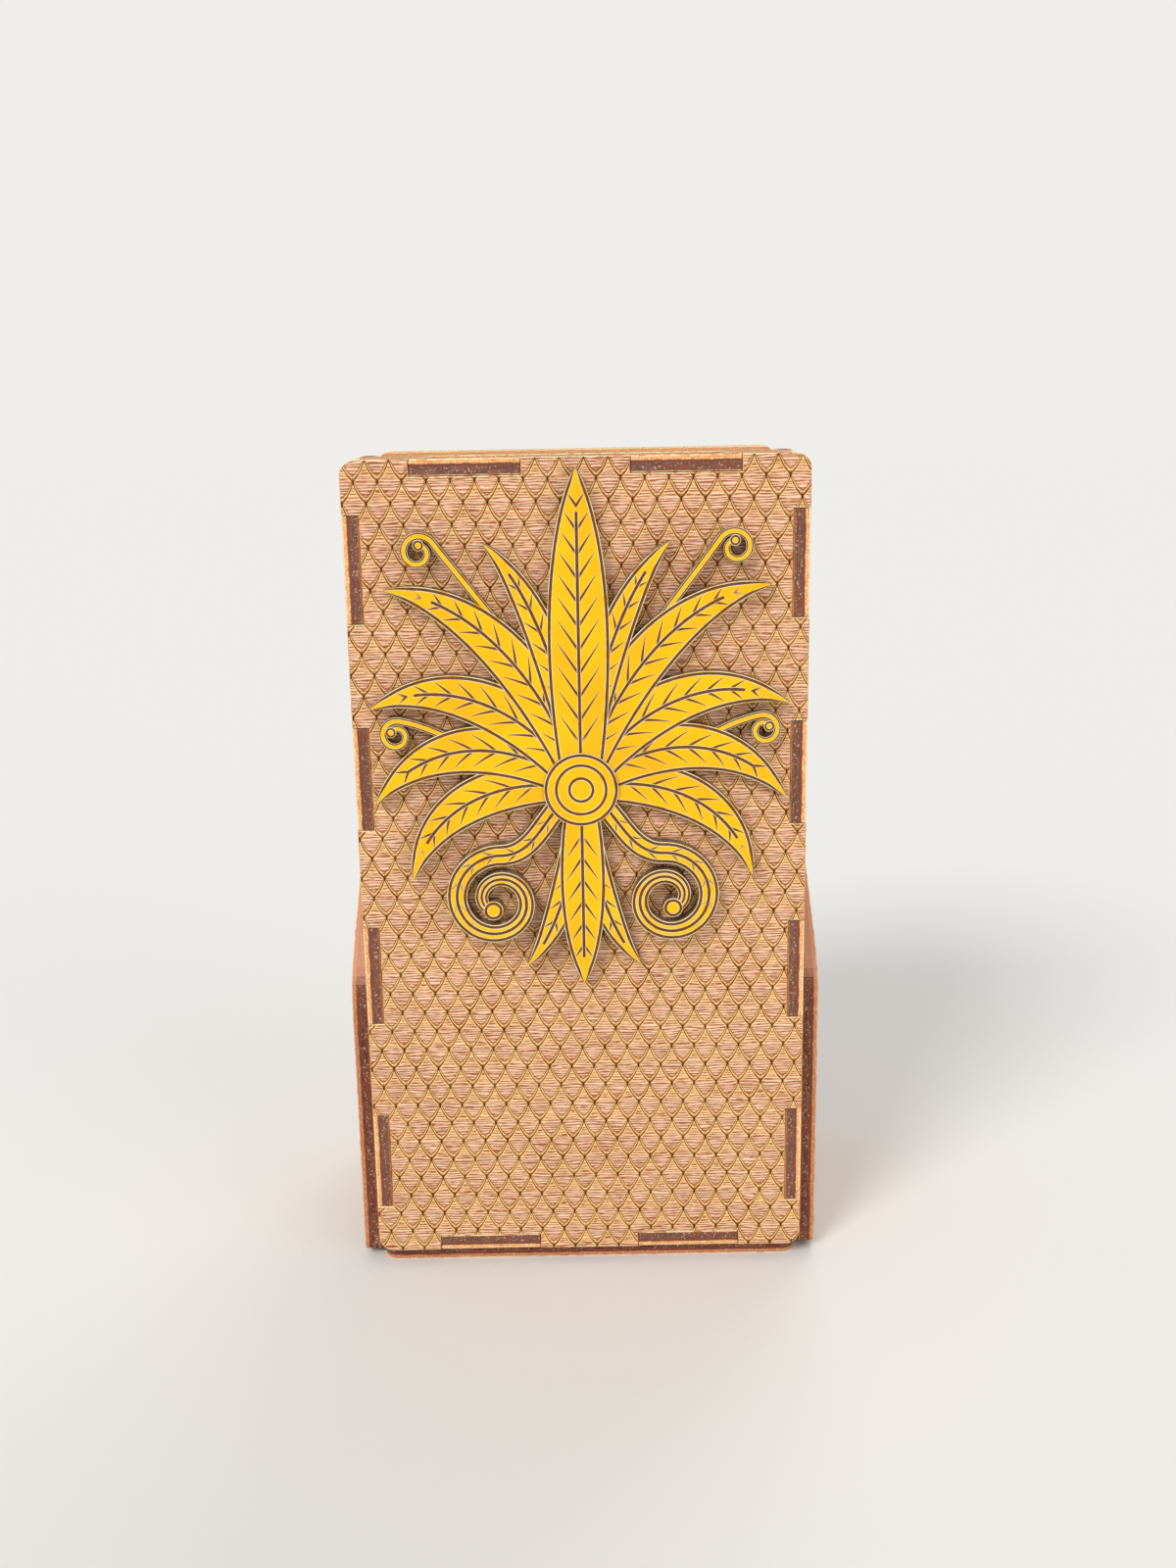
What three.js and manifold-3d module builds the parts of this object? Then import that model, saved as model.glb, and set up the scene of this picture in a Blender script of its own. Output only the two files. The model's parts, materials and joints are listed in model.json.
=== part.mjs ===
// A dice tower of laser-cut plywood with a folding dice tray, in millimetres, +Z up.
// The ornament is on the back, which faces -Y. The tray is folded up against the front, which faces +Y.
// The origin is on the table, under the middle of the folded tower.
import * as THREE from "three";
import { mergeVertices } from "three/addons/utils/BufferGeometryUtils.js";
import Module from "manifold-3d";

const wasm = await Module();
wasm.setup();

// Driving dimensions
const ply = 3.2; // thickness of every plywood plate
const panelWidth = 90; // back and front panels, side to side
const panelHeight = 166; // back and front panels, bottom to top
const towerDepth = 60; // outer face of the back panel to outer face of the front panel
const cornerRadius = 3; // rounded corners of plates
const cornerSteps = 8; // straight steps in a quarter turn

// Fits
const glueLine = 0.1; // between faces that are glued together
const kerf = 0.15; // round a tab in its notch
const tabRecess = 0.25; // how far a tab's end stays below the face around it
const overrun = 1; // how far a cutter runs past what it cuts
const mergeTolerance = 1e-4; // points of one surface closer than this are one point

// Finger joints
const sideTabCount = 4; // tabs along each tall edge
const sideTabMargin = 10.5; // corner to first tab on the tall edges
const endTabCount = 2; // tabs along the top and bottom edges of a panel
const endTabMargin = 13.3; // corner to first tab on those edges
const crossTabLength = 22; // the one tab on each side of roof and bottom
const sideDrop = 1.4; // ends of the sides short of the panels' tops and bottoms

// Foot plate under the tower
const footSetback = 2.2; // behind the panels' outer faces
const footInset = 0.7; // in from the tower's sides

// Openings
const mouthWidth = 62; // dice mouth in the roof
const mouthLength = 31;
const mouthSetback = 8.5; // from the back panel's outer face
const exitWidth = 70; // dice exit in the front panel
const exitHeight = 42;
const exitSill = 6; // above the panel's bottom edge

// Baffles inside the tower
const baffleSlope = 30; // degrees
const baffleReach = 28; // level distance from the wall to the free edge
const upperBaffleDrop = 36; // roof's top to the upper baffle's high edge
const baffleCount = 3; // spread evenly from there down to the exit ramp
const baffleTabLength = 14;
const rampRise = 29; // high edge of the exit ramp above its low edge
const rampLip = 0.8; // ramp's low edge above the exit's sill
const rampTabMargin = 9; // tab to the ramp's ends

// Hinge
const pinRadius = 1.5;
const pinPlay = 0.15; // between a pin and its hole
const pinInset = 7; // pin's axis behind the front panel's outer face
const pinSides = 32;
const trayGap = 0.4; // folded tray floor to the front panel
const wallGap = 0.5; // tray wall to the tower's side
const tableGap = 0.2; // unfolded tray above the table

// Tray
const trayTopRise = 0.8; // folded tray's far end above the tower's top
const wallBack = 3.8; // tray walls' rear edge from the back panel's outer face
const wallTableGap = 1; // tray walls above the table
const wallShoulder = 64; // top of the walls' full depth, above the table
const wallSlope = 40; // degrees
const shoulderRound = 7; // height and depth over which the shoulder is rounded
const wallEndInset = 0.9; // walls end short of the floor's far end
const wallCorner = 2;
const wallTabCount = 3;
const wallTabMargin = 14;
const lipHeight = 7; // above the tray's floor
const lipWidth = 76;
const lipInset = 8; // from the floor's far end
const lipPlay = 0.8; // round the lip in its slot
const lipTabCount = 2;
const lipTabMargin = 12;

// Closing magnets
const magnetRadius = 3;
const magnetThickness = 2.8;
const magnetSpan = 60; // between the two magnets of a pair of plates
const magnetDrop = 22; // below the tower's top

// Ornament on the back panel: a palmette of leaves over a pair of scrolls
const emblemThickness = 3.2;
const emblemWidth = 76;
const emblemHeight = 103;
const emblemBottom = 61.5; // above the panel's bottom edge
const heartShare = 0.39; // height of the leaves' root, as a share of the ornament's height
const heartRadius = 7.4;
const leafSteps = 24;
const stalkSteps = 16;
const curlSteps = 44;
// Pairs of leaves from the top down: lean from upright and curl toward the tip as shares of a half turn,
// length as a share of the ornament's height, width as a share of its width
const leafShares = [
  { leanShare: 0.085, curlShare: 0.05, lengthShare: 0.5, widthShare: 0.09 },
  { leanShare: 0.185, curlShare: 0.1, lengthShare: 0.53, widthShare: 0.125 },
  { leanShare: 0.3, curlShare: 0.14, lengthShare: 0.43, widthShare: 0.13 },
  { leanShare: 0.43, curlShare: 0.16, lengthShare: 0.395, widthShare: 0.13 },
  { leanShare: 0.575, curlShare: 0.15, lengthShare: 0.375, widthShare: 0.12 },
  { leanShare: 0.93, curlShare: -0.05, lengthShare: 0.37, widthShare: 0.08 },
];
const crownShares = { leanShare: 0, curlShare: 0, lengthShare: 0.605, widthShare: 0.16 };
const pendantShares = { leanShare: 1, curlShare: 0, lengthShare: 0.39, widthShare: 0.12 };
const leafRootShare = 0.18; // where on its sine the leaf's width starts
const leafFullness = 0.8; // power that rounds a leaf's sides
// The points that a leaf's middle line bends toward, along it and round with its curl
const spineShares = [
  { alongShare: 0.4, turnShare: -1 },
  { alongShare: 0.8, turnShare: -0.3 },
  { alongShare: 1, turnShare: 0.55 },
];
// Curled bands: the eye's place as shares of the ornament's width and height, the radii as shares of its
// width, the spiral's start and winding as shares of a turn, the stalk's direction at the heart as a share
// of a half turn, and how far it keeps that direction as a share of its span
const scroll = { width: 4.4, endWidth: 2.2 };
const scrollShares = {
  xShare: 0.225,
  zShare: 0.17,
  outerShare: 0.125,
  eyeShare: 0.03,
  startShare: 0.27,
  turnsShare: 1.45,
  leaveShare: 0.62,
  holdShare: 0.36,
};
const tendril = { width: 1.5, endWidth: 1.2 };
const upperTendrilShares = {
  xShare: 0.4,
  zShare: 0.845,
  outerShare: 0.045,
  eyeShare: 0.018,
  startShare: 0.42,
  turnsShare: 1.15,
  leaveShare: 0.06,
  holdShare: 0.38,
};
const lowerTendrilShares = {
  xShare: 0.475,
  zShare: 0.5,
  outerShare: 0.04,
  eyeShare: 0.016,
  startShare: 0.3,
  turnsShare: 1.2,
  leaveShare: 0.5,
  holdShare: 0.3,
};
const eyeShare = 0.9; // radius of the round end, of the band's width there

// Levels and places worked out from the dimensions above
const halfWidth = panelWidth / 2;
const panelBottom = ply + glueLine;
const panelTop = panelBottom + panelHeight;
const innerHalfWidth = halfWidth - ply;
const frontInner = towerDepth - ply;
const roofUnder = panelTop - ply;
const bottomTop = panelBottom + ply;
const pinBack = towerDepth - pinInset;
const floorInner = towerDepth + trayGap;
const floorOuter = floorInner + ply;
const pinHeight = floorOuter - pinBack + tableGap;
const trayBottom = pinHeight + pinInset + trayGap;
const trayTop = panelTop + trayTopRise;
const wallInner = halfWidth + wallGap;
const wallOuter = wallInner + ply;
const lipBack = floorInner - lipHeight;
const lipTop = trayTop - lipInset;
const lipBottom = lipTop - ply;
const magnetHeight = panelTop - magnetDrop;
const heartHeight = panelBottom + emblemBottom + emblemHeight * heartShare;
const frameShift = (floorOuter - emblemThickness - glueLine) / 2;

// Solids: three.js makes the shapes and manifold-3d joins and cuts them

function solidOf(geometry) {
  const bare = geometry.clone();
  bare.deleteAttribute("normal");
  bare.deleteAttribute("uv");
  const merged = mergeVertices(bare, mergeTolerance);
  return new wasm.Manifold(
    new wasm.Mesh({
      numProp: 3,
      vertProperties: merged.attributes.position.array,
      triVerts: new Uint32Array(merged.index.array),
    }),
  );
}

function geometryOf(solid) {
  const mesh = solid.getMesh();
  const geometry = new THREE.BufferGeometry();
  geometry.setAttribute("position", new THREE.BufferAttribute(mesh.vertProperties, mesh.numProp));
  geometry.setIndex(new THREE.BufferAttribute(mesh.triVerts, 1));
  const flat = geometry.toNonIndexed();
  flat.computeVertexNormals();
  return flat;
}

const joined = (solids) => solids.reduce((whole, solid) => whole.add(solid));
const cut = (solid, cutters) => cutters.reduce((rest, cutter) => rest.subtract(cutter), solid);

// Plates are drawn flat and extruded along +Z, then turned into one of the three planes

function plate(shape, thickness) {
  return new THREE.ExtrudeGeometry(shape, { depth: thickness, bevelEnabled: false, curveSegments: cornerSteps });
}

// Drawn in X and Z, from one Y to another
function uprightPlate(shape, nearY, farY) {
  const geometry = plate(shape, farY - nearY);
  geometry.rotateX(Math.PI / 2);
  geometry.translate(0, farY, 0);
  return solidOf(geometry);
}

// Drawn in Y and Z, from one X to another
function sidePlate(shape, lowX, highX) {
  const geometry = plate(shape, highX - lowX);
  const turn = new THREE.Matrix4().makeBasis(
    new THREE.Vector3(0, 1, 0),
    new THREE.Vector3(0, 0, 1),
    new THREE.Vector3(1, 0, 0),
  );
  geometry.applyMatrix4(turn);
  geometry.translate(lowX, 0, 0);
  return solidOf(geometry);
}

// Drawn in X and Y, from one Z to another
function levelPlate(shape, lowZ, highZ) {
  const geometry = plate(shape, highZ - lowZ);
  geometry.translate(0, 0, lowZ);
  return solidOf(geometry);
}

function block(low, high) {
  const geometry = new THREE.BoxGeometry(high[0] - low[0], high[1] - low[1], high[2] - low[2]);
  geometry.translate((low[0] + high[0]) / 2, (low[1] + high[1]) / 2, (low[2] + high[2]) / 2);
  return solidOf(geometry);
}

function rod(radius, lowX, highX, y, z) {
  const geometry = new THREE.CylinderGeometry(radius, radius, highX - lowX, pinSides);
  geometry.rotateZ(Math.PI / 2);
  geometry.translate((lowX + highX) / 2, y, z);
  return solidOf(geometry);
}

function disc(radius, x, nearY, farY, z) {
  const geometry = new THREE.CylinderGeometry(radius, radius, farY - nearY, pinSides);
  geometry.translate(x, (nearY + farY) / 2, z);
  return solidOf(geometry);
}

function roundedRectangle(left, low, right, high, radius) {
  const shape = new THREE.Shape();
  shape.moveTo(left + radius, low);
  shape.lineTo(right - radius, low);
  shape.absarc(right - radius, low + radius, radius, -Math.PI / 2, 0);
  shape.lineTo(right, high - radius);
  shape.absarc(right - radius, high - radius, radius, 0, Math.PI / 2);
  shape.lineTo(left + radius, high);
  shape.absarc(left + radius, high - radius, radius, Math.PI / 2, Math.PI);
  shape.lineTo(left, low + radius);
  shape.absarc(left + radius, low + radius, radius, Math.PI, Math.PI * 1.5);
  return shape;
}

// Start and end of each tab along an edge, with gaps as long as the tabs
function tabSpans(length, count, margin) {
  const pitch = (length - 2 * margin) / (2 * count - 1);
  return Array.from({ length: count }, (_, i) => {
    const start = margin + 2 * i * pitch;
    return [start, start + pitch];
  });
}

const sideTabs = tabSpans(panelHeight, sideTabCount, sideTabMargin);
const endTabs = tabSpans(panelWidth, endTabCount, endTabMargin);
const crossTab = [(towerDepth - crossTabLength) / 2, (towerDepth + crossTabLength) / 2];

// A back or front panel: rounded corners, and notches for the tabs of sides, roof and bottom
function panelBlank(nearY, farY) {
  const outline = roundedRectangle(-halfWidth, panelBottom, halfWidth, panelTop, cornerRadius);
  const notchDepth = ply + kerf;
  const cutters = [];
  for (const [start, end] of sideTabs) {
    const low = panelBottom + start - kerf;
    const high = panelBottom + end + kerf;
    for (const side of [-1, 1]) {
      const edges = [side * (halfWidth - notchDepth), side * (halfWidth + overrun)].sort((a, b) => a - b);
      cutters.push(block([edges[0], nearY - overrun, low], [edges[1], farY + overrun, high]));
    }
  }
  for (const [start, end] of endTabs) {
    const left = start - halfWidth - kerf;
    const right = end - halfWidth + kerf;
    cutters.push(
      block([left, nearY - overrun, panelTop - notchDepth], [right, farY + overrun, panelTop + overrun]),
      block([left, nearY - overrun, panelBottom - overrun], [right, farY + overrun, panelBottom + notchDepth]),
    );
  }
  return cut(uprightPlate(outline, nearY, farY), cutters);
}

function backPanel() {
  return panelBlank(0, ply);
}

function magnetHoles(nearY, farY) {
  return [-1, 1].map((side) =>
    disc(magnetRadius + kerf, (side * magnetSpan) / 2, nearY - overrun, farY + overrun, magnetHeight),
  );
}

function frontPanel() {
  const sill = panelBottom + exitSill;
  const exit = roundedRectangle(-exitWidth / 2, sill, exitWidth / 2, sill + exitHeight, cornerRadius);
  const slotHalf = lipWidth / 2 + lipPlay;
  const slotLow = [-slotHalf, frontInner - overrun, lipBottom - lipPlay];
  const slotHigh = [slotHalf, towerDepth + overrun, lipTop + lipPlay];
  return cut(panelBlank(frontInner, towerDepth), [
    uprightPlate(exit, frontInner - overrun, towerDepth + overrun),
    block(slotLow, slotHigh),
    ...magnetHoles(frontInner, towerDepth),
  ]);
}

// Baffles lean down from the front or the back wall. Each is a list of its places in Y and Z:
// the high edge's upper corner, the direction down the slope, and the length along it.

function baffleLine(fromFront, highZ, reach, slope) {
  const angle = THREE.MathUtils.degToRad(slope);
  const across = fromFront ? -1 : 1;
  const wallY = fromFront ? frontInner - glueLine : ply + glueLine;
  const down = new THREE.Vector2(across * Math.cos(angle), -Math.sin(angle));
  const under = new THREE.Vector2(-across * Math.sin(angle), -Math.cos(angle));
  // The lower corner of the high edge is the one that meets the wall
  const corner = new THREE.Vector2(wallY, highZ).addScaledVector(under, -ply);
  return { corner, down, under, length: reach / Math.cos(angle) };
}

// The ramp runs from the back wall down to the exit's sill
const rampRun = frontInner - ply - 2 * glueLine;
const rampAngle = Math.atan2(rampRise, rampRun);
const rampHeight = panelBottom + exitSill + rampLip + rampRise - ply / Math.cos(rampAngle);

function rampLine() {
  const line = baffleLine(false, rampHeight, rampRun, THREE.MathUtils.radToDeg(rampAngle));
  // The low edge stops where its upper corner meets the front panel
  line.length = (frontInner - glueLine - line.corner.x) / line.down.x;
  return line;
}

const upperBaffleHeight = panelTop - upperBaffleDrop;
const baffleStep = (upperBaffleHeight - rampHeight) / baffleCount;
const baffleLines = {
  upper_baffle: baffleLine(true, upperBaffleHeight, baffleReach, baffleSlope),
  middle_baffle: baffleLine(false, upperBaffleHeight - baffleStep, baffleReach, baffleSlope),
  lower_baffle: baffleLine(true, upperBaffleHeight - 2 * baffleStep, baffleReach, baffleSlope),
  exit_ramp: rampLine(),
};

const baffleTabs = (line, name) =>
  name === "exit_ramp"
    ? [
        [rampTabMargin, rampTabMargin + baffleTabLength],
        [line.length - rampTabMargin - baffleTabLength, line.length - rampTabMargin],
      ]
    : [[(line.length - baffleTabLength) / 2, (line.length + baffleTabLength) / 2]];

// A stretch of a baffle's profile, grown all round by a margin
function baffleShape(line, start, end, margin) {
  const corners = [
    [start - margin, -margin],
    [end + margin, -margin],
    [end + margin, ply + margin],
    [start - margin, ply + margin],
  ].map(([along, below]) =>
    line.corner.clone().addScaledVector(line.down, along).addScaledVector(line.under, below),
  );
  return new THREE.Shape(THREE.ShapeUtils.area(corners) < 0 ? corners.reverse() : corners);
}

function baffle(name) {
  const line = baffleLines[name];
  const bodyHalf = innerHalfWidth - glueLine;
  const tabHalf = halfWidth - tabRecess;
  const tabs = baffleTabs(line, name).map(([start, end]) =>
    sidePlate(baffleShape(line, start, end, 0), -tabHalf, tabHalf),
  );
  return joined([sidePlate(baffleShape(line, 0, line.length, 0), -bodyHalf, bodyHalf), ...tabs]);
}

// A side wall of the tower: tabs into both panels, notches for roof and bottom, slots for the baffles
function towerSide(side) {
  const [lowX, highX] = side < 0 ? [-halfWidth, -innerHalfWidth] : [innerHalfWidth, halfWidth];
  const wallBackY = ply + glueLine;
  const wallFrontY = frontInner - glueLine;
  const body = block([lowX, wallBackY, panelBottom + sideDrop], [highX, wallFrontY, panelTop - sideDrop]);
  const tabs = sideTabs.map(([start, end]) =>
    block([lowX, tabRecess, panelBottom + start], [highX, towerDepth - tabRecess, panelBottom + end]),
  );
  const cutX = [lowX - overrun, highX + overrun];
  const crossLow = crossTab[0] - kerf;
  const crossHigh = crossTab[1] + kerf;
  const notches = [
    block([cutX[0], crossLow, roofUnder - kerf], [cutX[1], crossHigh, panelTop + overrun]),
    block([cutX[0], crossLow, panelBottom - overrun], [cutX[1], crossHigh, bottomTop + kerf]),
  ];
  const slots = Object.entries(baffleLines).flatMap(([name, line]) =>
    baffleTabs(line, name).map(([start, end]) => sidePlate(baffleShape(line, start, end, kerf), ...cutX)),
  );
  const pinHole = rod(pinRadius + pinPlay, ...cutX, pinBack, pinHeight);
  return cut(joined([body, ...tabs]), [...notches, ...slots, pinHole]);
}

// Roof and bottom: a level plate with tabs into the panels and the sides
function crossPlate(lowZ, highZ) {
  const bodyHalf = innerHalfWidth - glueLine;
  const body = block([-bodyHalf, ply + glueLine, lowZ], [bodyHalf, frontInner - glueLine, highZ]);
  const endPieces = endTabs.map(([start, end]) =>
    block([start - halfWidth, tabRecess, lowZ], [end - halfWidth, towerDepth - tabRecess, highZ]),
  );
  const sideHalf = halfWidth - tabRecess;
  const sidePiece = block([-sideHalf, crossTab[0], lowZ], [sideHalf, crossTab[1], highZ]);
  return joined([body, ...endPieces, sidePiece]);
}

function roofPlate() {
  const mouth = roundedRectangle(
    -mouthWidth / 2,
    mouthSetback,
    mouthWidth / 2,
    mouthSetback + mouthLength,
    cornerRadius,
  );
  return cut(crossPlate(roofUnder, panelTop), [levelPlate(mouth, roofUnder - overrun, panelTop + overrun)]);
}

function bottomPlate() {
  return crossPlate(panelBottom, bottomTop);
}

function footPlate() {
  const footHalf = halfWidth - footInset;
  const outline = roundedRectangle(
    -footHalf,
    footSetback,
    footHalf,
    towerDepth - footSetback,
    cornerRadius,
  );
  return levelPlate(outline, 0, ply);
}

function hingePin(side) {
  const ends = [side * (innerHalfWidth + glueLine), side * (wallOuter - tabRecess)].sort((a, b) => a - b);
  return rod(pinRadius, ...ends, pinBack, pinHeight);
}

function magnet(side, nearY) {
  return disc(magnetRadius, (side * magnetSpan) / 2, nearY, nearY + magnetThickness, magnetHeight);
}

// The tray, drawn as it stands folded against the tower

const wallTop = trayTop - wallEndInset;
const wallTabs = tabSpans(wallTop - trayBottom, wallTabCount, wallTabMargin);
const lipTabs = tabSpans(lipWidth, lipTabCount, lipTabMargin);

function trayFloor() {
  const floorHalf = wallInner - glueLine;
  const outline = roundedRectangle(-floorHalf, trayBottom, floorHalf, trayTop, cornerRadius);
  const tabHalf = wallOuter - tabRecess;
  const tabs = wallTabs.map(([start, end]) =>
    block([-tabHalf, floorInner, trayBottom + start], [tabHalf, floorOuter, trayBottom + end]),
  );
  const cutters = [...magnetHoles(floorInner, floorOuter)];
  for (const [start, end] of lipTabs) {
    const low = [start - lipWidth / 2 - kerf, floorInner - overrun, lipBottom - kerf];
    const high = [end - lipWidth / 2 + kerf, floorOuter + overrun, lipTop + kerf];
    cutters.push(block(low, high));
  }
  return cut(joined([uprightPlate(outline, floorInner, floorOuter), ...tabs]), cutters);
}

// A tray wall: full depth beside the exit, a slope, then as low as the lip out to the far end.
// Below the floor it is rounded about the hinge pin, so that it clears the table as it turns.
function trayWall(side) {
  const slope = Math.tan(THREE.MathUtils.degToRad(wallSlope));
  const slopeTop = wallShoulder + (lipBack - wallBack) * slope;
  const heelRadius = pinHeight - wallTableGap;
  const heelTop = trayBottom - trayGap;
  const shape = new THREE.Shape();
  shape.moveTo(wallBack + wallCorner, wallTableGap);
  shape.lineTo(pinBack, wallTableGap);
  shape.absarc(pinBack, pinHeight, heelRadius, -Math.PI / 2, 0);
  shape.lineTo(pinBack + heelRadius, heelTop);
  shape.lineTo(floorOuter, trayBottom);
  shape.lineTo(floorOuter, wallTop);
  shape.lineTo(lipBack + cornerRadius, wallTop);
  shape.absarc(lipBack + cornerRadius, wallTop - cornerRadius, cornerRadius, Math.PI / 2, Math.PI);
  shape.lineTo(lipBack, slopeTop);
  shape.lineTo(wallBack + shoulderRound, wallShoulder + shoulderRound * slope);
  shape.quadraticCurveTo(wallBack, wallShoulder, wallBack, wallShoulder - shoulderRound);
  shape.lineTo(wallBack, wallTableGap + wallCorner);
  shape.absarc(wallBack + wallCorner, wallTableGap + wallCorner, wallCorner, Math.PI, Math.PI * 1.5);
  const [lowX, highX] = side < 0 ? [-wallOuter, -wallInner] : [wallInner, wallOuter];
  const cutX = [lowX - overrun, highX + overrun];
  const notches = wallTabs.map(([start, end]) =>
    block(
      [cutX[0], floorInner - kerf, trayBottom + start - kerf],
      [cutX[1], floorOuter + overrun, trayBottom + end + kerf],
    ),
  );
  const pinHole = rod(pinRadius + pinPlay, ...cutX, pinBack, pinHeight);
  return cut(sidePlate(shape, lowX, highX), [...notches, pinHole]);
}

function trayLip() {
  const half = lipWidth / 2;
  const body = roundedRectangle(-half, lipBack, half, floorInner - glueLine, wallCorner);
  const tabs = lipTabs.map(([start, end]) =>
    block([start - half, floorInner - ply, lipBottom], [end - half, floorOuter - tabRecess, lipTop]),
  );
  return joined([levelPlate(body, lipBottom, lipTop), ...tabs]);
}

// The ornament: every piece is a band with a varying width along a line in X and Z

// A closed outline round a line, from the line's points and half its width at each
function band(points, halfWidths) {
  const left = [];
  const right = [];
  points.forEach((point, i) => {
    const ahead = points[Math.min(i + 1, points.length - 1)];
    const behind = points[Math.max(i - 1, 0)];
    const along = ahead.clone().sub(behind).normalize();
    const across = new THREE.Vector2(-along.y, along.x).multiplyScalar(halfWidths[i]);
    left.push(point.clone().add(across));
    if (halfWidths[i] > 0) right.push(point.clone().sub(across));
  });
  const outline = [...left, ...right.reverse()];
  return new THREE.Shape(THREE.ShapeUtils.area(outline) < 0 ? outline.reverse() : outline);
}

const heartPoint = new THREE.Vector2(0, heartHeight);

// The point at an angle from upright and a distance from the heart, on one side
const fromHeart = (side, angle, distance) =>
  new THREE.Vector2(side * Math.sin(angle), Math.cos(angle)).multiplyScalar(distance).add(heartPoint);

// A pointed leaf from the heart: it leans from upright, and its tip curls on further
function leafShape(side, { leanShare, curlShare, lengthShare, widthShare }) {
  const length = lengthShare * emblemHeight;
  const bends = spineShares.map(({ alongShare, turnShare }) =>
    fromHeart(side, (leanShare + turnShare * curlShare) * Math.PI, alongShare * length),
  );
  const points = new THREE.CubicBezierCurve(heartPoint, ...bends).getPoints(leafSteps);
  const halfWidths = points.map((_, i) => {
    const place = leafRootShare + ((1 - leafRootShare) * i) / leafSteps;
    const full = Math.pow(Math.abs(Math.sin(Math.PI * place)), leafFullness);
    return i === leafSteps ? 0 : (full * widthShare * emblemWidth) / 2;
  });
  return band(points, halfWidths);
}

// A curled band: a stalk from the heart that runs on into a spiral with a round end
function curlShapes(side, { width, endWidth }, shares) {
  const centre = new THREE.Vector2(
    side * shares.xShare * emblemWidth,
    panelBottom + emblemBottom + shares.zShare * emblemHeight,
  );
  const outer = shares.outerShare * emblemWidth;
  const inner = shares.eyeShare * emblemWidth;
  const spiral = Array.from({ length: curlSteps + 1 }, (_, i) => {
    const share = i / curlSteps;
    const angle = 2 * Math.PI * (shares.startShare - shares.turnsShare * share);
    const radius = outer + (inner - outer) * share;
    return new THREE.Vector2(side * radius * Math.cos(angle), radius * Math.sin(angle)).add(centre);
  });
  const hold = shares.holdShare * spiral[0].distanceTo(heartPoint);
  const onward = spiral[1].clone().sub(spiral[0]).normalize();
  const stalk = new THREE.CubicBezierCurve(
    heartPoint,
    fromHeart(side, shares.leaveShare * Math.PI, hold),
    spiral[0].clone().addScaledVector(onward, -hold),
    spiral[0],
  ).getPoints(stalkSteps);
  stalk.pop();
  const halfWidths = [
    ...stalk.map(() => width / 2),
    ...spiral.map((_, i) => (width + ((endWidth - width) * i) / curlSteps) / 2),
  ];
  const eye = new THREE.Shape();
  eye.absarc(spiral[curlSteps].x, spiral[curlSteps].y, eyeShare * endWidth, 0, 2 * Math.PI);
  return [band([...stalk, ...spiral], halfWidths), eye];
}

function emblem() {
  const heart = new THREE.Shape();
  heart.absarc(heartPoint.x, heartPoint.y, heartRadius, 0, 2 * Math.PI);
  const shapes = [heart, leafShape(1, crownShares), leafShape(1, pendantShares)];
  for (const side of [-1, 1]) {
    for (const shares of leafShares) shapes.push(leafShape(side, shares));
    shapes.push(
      ...curlShapes(side, scroll, scrollShares),
      ...curlShapes(side, tendril, upperTendrilShares),
      ...curlShapes(side, tendril, lowerTendrilShares),
    );
  }
  return joined(shapes.map((shape) => uprightPlate(shape, -emblemThickness - glueLine, -glueLine)));
}

// Materials

const finishes = {
  engravedPly: { color: 0xdcae78, roughness: 0.62, metalness: 0 },
  plainPly: { color: 0xd9b384, roughness: 0.68, metalness: 0 },
  gold: { color: 0xf7c400, roughness: 0.45, metalness: 0 },
  dowel: { color: 0xc99d66, roughness: 0.6, metalness: 0 },
  nickel: { color: 0xb9babd, roughness: 0.3, metalness: 1 },
};

const model = new THREE.Group();
const tower = new THREE.Group();
const tray = new THREE.Group();
model.add(tower, tray);
tower.position.y = -frameShift;
tray.position.y = -frameShift;

function addPiece(group, name, finish, solid) {
  const mesh = new THREE.Mesh(geometryOf(solid), new THREE.MeshStandardMaterial(finishes[finish]));
  mesh.name = name;
  group.add(mesh);
}

addPiece(tower, "back_panel", "engravedPly", backPanel());
addPiece(tower, "front_panel", "engravedPly", frontPanel());
addPiece(tower, "left_side", "engravedPly", towerSide(-1));
addPiece(tower, "right_side", "engravedPly", towerSide(1));
addPiece(tower, "roof_plate", "engravedPly", roofPlate());
addPiece(tower, "bottom_plate", "plainPly", bottomPlate());
addPiece(tower, "foot_plate", "plainPly", footPlate());
for (const name of Object.keys(baffleLines)) addPiece(tower, name, "plainPly", baffle(name));
addPiece(tower, "emblem", "gold", emblem());
addPiece(tower, "left_hinge_pin", "dowel", hingePin(-1));
addPiece(tower, "right_hinge_pin", "dowel", hingePin(1));
addPiece(tower, "left_tower_magnet", "nickel", magnet(-1, towerDepth - tabRecess - magnetThickness));
addPiece(tower, "right_tower_magnet", "nickel", magnet(1, towerDepth - tabRecess - magnetThickness));
addPiece(tray, "tray_floor", "engravedPly", trayFloor());
addPiece(tray, "tray_left_wall", "engravedPly", trayWall(-1));
addPiece(tray, "tray_right_wall", "engravedPly", trayWall(1));
addPiece(tray, "tray_lip", "plainPly", trayLip());
addPiece(tray, "left_tray_magnet", "nickel", magnet(-1, floorInner + tabRecess / 2));
addPiece(tray, "right_tray_magnet", "nickel", magnet(1, floorInner + tabRecess / 2));

export default model;
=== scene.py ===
import json
import math

import bmesh
import bpy
import numpy as np
from mathutils import Matrix, Vector


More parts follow.
